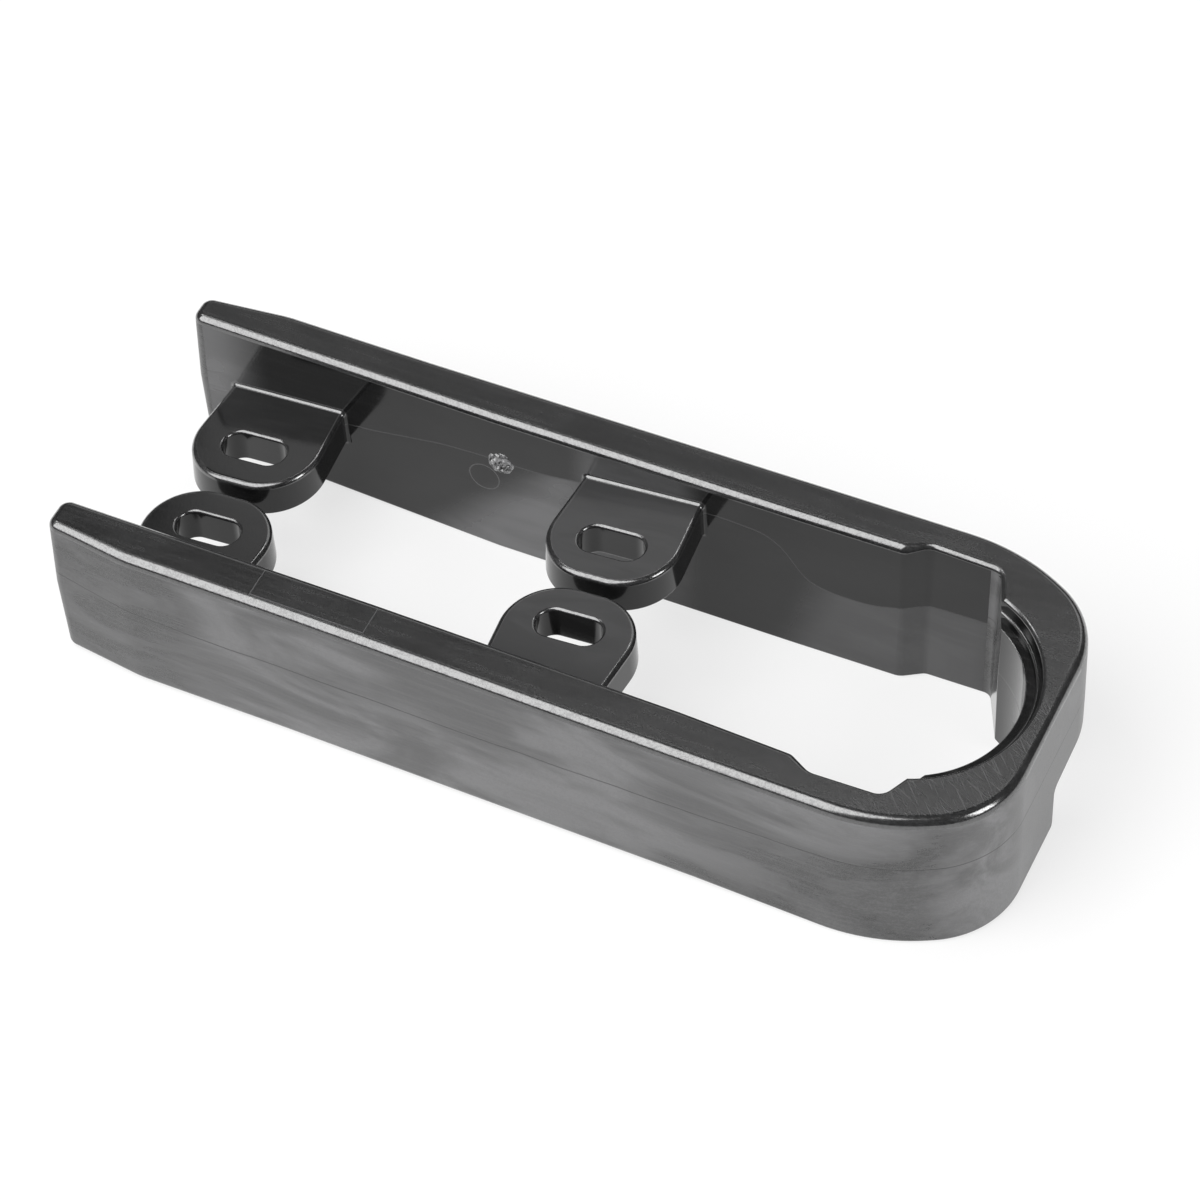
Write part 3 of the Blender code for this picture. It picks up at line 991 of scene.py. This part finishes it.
# %% Outer walls
scuffed_wall = plastic("scuffed_outer_wall", {
    "dark": grey(0.008), "dusty": grey(0.085), "haze_and_painted_light_tone": grey(0.18),
    "speckle": 0.3, "patch_floor": 0.4,
    "patches": [
        # This patch fades in over the tips' end, and it ends further along the part the higher it
        # lies, so towards the nose the outer wall is darker towards the bottom.
        haze_and_painted_light_area(-108.0, 60.0, 60.0, 0.68, end_lean=1.8),
        # Painted sheen: the nose's end and sides are made pale, as their broad reflection would
        # show.
        haze_and_painted_light_area(84.0, 300.0, 14.0, 1.0),
    ],
    "gloss": 0.26, "matt": 0.42, "sheen": 0.8, "coat_roughness": 0.2,
    "grain_size": 0.28, "grain_height": 0.03,
    "band_size": 15.0, "cloud_share": 0.55, "streak_share": 0.3,
    "scratches": 0.2, "seam": 0.8,
})

# %% [markdown]
# ### Flat top and rounded edges
# The top is dull, with the hairline of a small mould insert on the near arm and rub marks on
# the near side of the nose. The edges were polished by hand in the steel, so they carry a
# thin coat of gloss that the grain breaks up.

# %% Top and edges
insert_plate = {"Centre": (-41.7, -30.65, 38.0), "Half size": (12.35, 3.3, 1.0)}
dull_top = plastic("dull_top_face", {
    "line": grey(0.09), "dark": grey(0.005), "dusty": grey(0.024), "speckle": 0.12,
    "marks": [(plate_mark_group, 0.6, insert_plate)],
    "rubbed": (70.0, 6.0, 0.35),
    "gloss": 0.22, "matt": 0.36, "coat_roughness": 0.2,
    "grain_height": 0.01, "band_size": 12.0, "streak_share": 0.25, "scratches": 0.4,
})
rounded_edge = plastic("rounded_edge", {
    "dark": grey(0.012), "dusty": grey(0.03), "speckle": 0.5,
    "gloss": 0.16, "matt": 0.26, "sheen": 1.0, "coat": 0.8, "coat_roughness": 0.13,
    "grain_size": 0.32, "grain_height": 0.02,
    "band_size": 8.0, "cloud_share": 0.3, "streak_share": 0.3, "scratches": 0.3,
})

# %% [markdown]
# ### Inner walls and tabs
# The inner walls came off polished steel, so they mirror the table. Below the seam haze lies
# in patches on them, and beside each tab the lower wall is left dark as a painted shadow and
# reflection of that tab. Other pale patches are painted reflections, and a mould pin left its
# ring. The tabs' upper faces near the nose carry a painted reflection, and their upright sides
# stay dark.

# %% Inner walls and tabs
pin_ring = {"Centre": (-33.4, 25.6, 19.4), "Radius": 3.4, "Line width": 0.2}
glossy_inside = plastic("glossy_inner_wall", {
    "line": grey(0.08), "dark": grey(0.005), "haze_and_painted_light_tone": grey(0.15),
    "patches": [
        # Haze below the seam, with painted shade: each patch starts at a leaning soft edge, so
        # the wall beside a tab stays dark where the tab's shadow and dark reflection fall.
        haze_and_painted_light_area(-52.0, -3.0, 16.0, 1.0, lean=1.0, below_seam=True),
        haze_and_painted_light_area(29.0, 84.0, 12.0, 0.5, lean=0.35, below_seam=True),
        # Painted reflection: the inner walls at the tips are paler, where they mirror the table
        # past the near tip.
        haze_and_painted_light_area(-130.0, -82.0, 14.0, 0.8),
        # Painted reflection: the inner walls beside the second pair of tabs are paler, where they
        # mirror the tab's top.
        haze_and_painted_light_area(-15.0, 16.0, 7.0, 0.45),
    ],
    "marks": [(ring_mark_group, 0.7, pin_ring)],
    "gloss": 0.1, "matt": 0.32, "grain_size": 0.5, "grain_height": 0.002,
    "band_size": 18.0, "scratches": 0.25, "seam_line": inner_seam, "seam": 0.4,
})
tab_values = {
    "gloss": 0.12, "matt": 0.24, "grain_size": 0.5, "grain_height": 0.003,
    "band_size": 10.0, "cloud_share": 0.2, "scratches": 0.3,
}
# Painted reflection: the upper faces of the second pair of tabs are paler and duller, where they
# mirror the wall above them.
painted_reflection_near_nose = {"haze_and_painted_light_tone": grey(0.04), "patches": [haze_and_painted_light_area(-24.0, 26.0, 10.0, 0.9)]}
polished_tab = plastic("polished_tab", {**tab_values, **painted_reflection_near_nose})
tab_side = plastic("polished_tab_side", tab_values)

# %% [markdown]
# ### Torn plastic
# Where the plug was torn off, the plastic is stretched and whitened on its ridges and black
# in its cracks.

# %% Torn plastic
torn_plastic = plastic("torn_plastic", {
    "dusty": grey(0.3), "speckle": 0.3,
    "gloss": 0.18, "matt": 0.4, "sheen": 0.9, "coat": 0.6, "coat_roughness": 0.15,
    "grain_height": 0.05, "band_size": 1.6, "cloud_share": 0.7, "scratches": 0.5,
})
print("Finishes:", [material.name for material in bpy.data.materials])

# %% [markdown]
# ## Which face has which finish
# A face belongs to the top if it points straight up at full height, and to an edge if it is
# turned between up and sideways. It belongs to the outer wall if it lies outside the middle
# of an arm or past the ring, and to a tab if it lies well inside the arms, where upright
# faces get the finish of the tabs' sides. All the rest is inner wall.

# %% Give each face its finish
flat_up, edge_least, edge_most, tab_face_up, level_inside = 0.99, 0.1, 0.985, 0.5, 0.999
finishes = [scuffed_wall, dull_top, rounded_edge, glossy_inside, polished_tab, tab_side]
for finish in finishes:
    one_piece.materials.append(finish)
arm_inside = width / 2 - far_arm_wall[0] / 2 - 1.6 * MM
tab_root = width / 2 - near_arm_wall[1] - 0.5 * MM
ring_x, ring_y = ring_centre()
ring_x -= length / 2
counts = {finish.name: 0 for finish in finishes}
for face in one_piece.polygons:
    middle = face.center
    from_ring = sqrt((middle.x - ring_x) ** 2 + (middle.y - ring_y) ** 2)
    on_nose = middle.x > ring_x and from_ring > ring_radius + ring_wall / 2
    on_arm = middle.x <= ring_x + ring_radius and abs(middle.y) > arm_inside
    on_tip = middle.x < -length / 2 + tip_radius
    on_tab = abs(middle.y) < tab_root and middle.x < ring_x - ring_radius
    if middle.z > height - 0.05 * MM and face.normal.z > flat_up:
        finish = dull_top
    elif edge_least < face.normal.z < edge_most:
        finish = rounded_edge
    elif on_tab:
        finish = polished_tab if face.normal.z > tab_face_up else tab_side
    elif (on_nose or on_arm or on_tip) and face.normal.z < level_inside:
        finish = scuffed_wall
    else:
        finish = glossy_inside
    face.material_index = finishes.index(finish)
    counts[finish.name] += 1
print("Faces with each finish:", counts)

# %% [markdown]
# ## Place the piece
# The moulded piece and the gate scar ride on the part's only body. Together they stand for
# the plain solid, which isn't shown any more.

# %% Ride and replace
scar_mesh.materials.append(torn_plastic)
for piece in (slider, gate_scar):
    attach(piece, "root")
    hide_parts("chain_slider")

# %% [markdown]
# ## Camera
# The camera stands where the photographer's did: solved from the part's own edges, it looks
# down at about 50 degrees from just over 90 cm away, through a long lens, and is rolled a
# little.

# %% Camera
aim = Vector((0.45, 9.04, 15.01)) * MM
azimuth, elevation, roll = radians(27.05), radians(50.05), radians(-2.703)
distance = 924.2 * MM
lens_mm = 138.39
back = Vector((sin(azimuth) * cos(elevation), -cos(azimuth) * cos(elevation), sin(elevation)))
right = (-back).cross(Vector((0.0, 0.0, 1.0))).normalized()
up = right.cross(-back)
level_right = right * cos(roll) + up * sin(roll)
level_up = up * cos(roll) - right * sin(roll)
camera_data = bpy.data.cameras.new("studio_camera")
camera_data.lens = lens_mm
camera_data.sensor_width = 36.0
camera_data.sensor_height = 36.0
camera_data.clip_end = 20.0
camera = add_object("studio_camera", camera_data)
turned = Matrix((level_right, level_up, back)).transposed().to_4x4()
camera.matrix_world = Matrix.Translation(aim + back * distance) @ turned
bpy.context.scene.camera = camera
print("Camera at", [round(v, 3) for v in camera.matrix_world.translation])

# %% [markdown]
# ## Table
# A product photograph stands its object on a white sheet. The floor here is pale and plain,
# keeps a soft shadow, and looks white to the camera and to the glossy plastic, which mirrors
# it. Past its edge the studio is dark, and that is what draws the thin black line under each
# bright edge.

# %% Floor
floor_mesh = bpy.data.meshes.new("white_table")
floor_size, floor_drop = 0.9, 0.05 * MM
paper_tone, paper_seen_tone, paper_glow = 0.82, 0.26, 0.70
bm = bmesh.new()
bmesh.ops.create_grid(bm, x_segments=1, y_segments=1, size=floor_size)
bm.to_mesh(floor_mesh)
bm.free()
floor = add_object("white_table", floor_mesh)
floor.location.z = -floor_drop
paper = bpy.data.materials.new("white_paper")
paper.use_nodes = True
paper_tree = paper.node_tree
rays = put(paper_tree, "ShaderNodeLightPath", {}).outputs
seen = math(paper_tree, "MAXIMUM", rays["Is Camera Ray"], rays["Is Glossy Ray"])
links = {"Factor": seen, "A": (*[paper_tone] * 3, 1.0), "B": (*[paper_seen_tone] * 3, 1.0)}
paper_colour = put(paper_tree, "ShaderNodeMix", links, data_type="RGBA").outputs[2]
fill(paper_tree, paper_tree.nodes["Principled BSDF"], {
    "Base Color": paper_colour,
    "Roughness": 0.7,
    "Specular IOR Level": 0.0,
    "Emission Color": (1.0, 1.0, 1.0, 1.0),
    "Emission Strength": math(paper_tree, "MULTIPLY", seen, paper_glow),
})
floor_mesh.materials.append(paper)

# %% [markdown]
# ## Light
# One wide soft box hangs in front of the part, where the rounded edges of the arms mirror
# it, and a thin strip behind adds a fine second line. A dimmer box behind gives the flat top
# its even dark grey, and one at the right puts a short arc of light on the nose's edge. The
# room itself adds a low, even light.

# %% Soft boxes


def soft_box(name, direction, size, radiance):
    """A soft box that looks at the part; its radiance is what a mirror would show."""
    lamp = bpy.data.lights.new(name, "AREA")
    lamp.shape = "RECTANGLE"
    lamp.size, lamp.size_y = size
    lamp.energy = radiance * pi * size[0] * size[1]
    item = add_object(name, lamp)
    direction = Vector(direction).normalized()
    facing = direction.to_track_quat("Z", "Y").to_matrix().to_4x4()
    item.matrix_world = Matrix.Translation(direction * box_distance) @ facing
    print(name, "has a radiance of", radiance, "and", round(lamp.energy, 1), "W")


box_distance = 1.6
soft_box("front_soft_box", (-0.40, -0.55, 0.77), (1.5, 1.95), 4.4)
soft_box("thin_strip", (-0.29, 0.40, 0.87), (1.7, 0.12), 7.0)
soft_box("back_soft_box", (-0.12, 0.79, 0.60), (1.7, 0.75), 1.0)
soft_box("right_soft_box", (0.85, -0.18, 0.5), (0.5, 0.8), 9.0)

world = bpy.context.scene.world or bpy.data.worlds.new("studio")
bpy.context.scene.world = world
world.use_nodes = True
sky = world.node_tree.nodes["Background"]
sky.inputs["Color"].default_value = (1.0, 1.0, 1.0, 1.0)
sky.inputs["Strength"].default_value = 0.06
bpy.context.scene.view_settings.view_transform = "Standard"
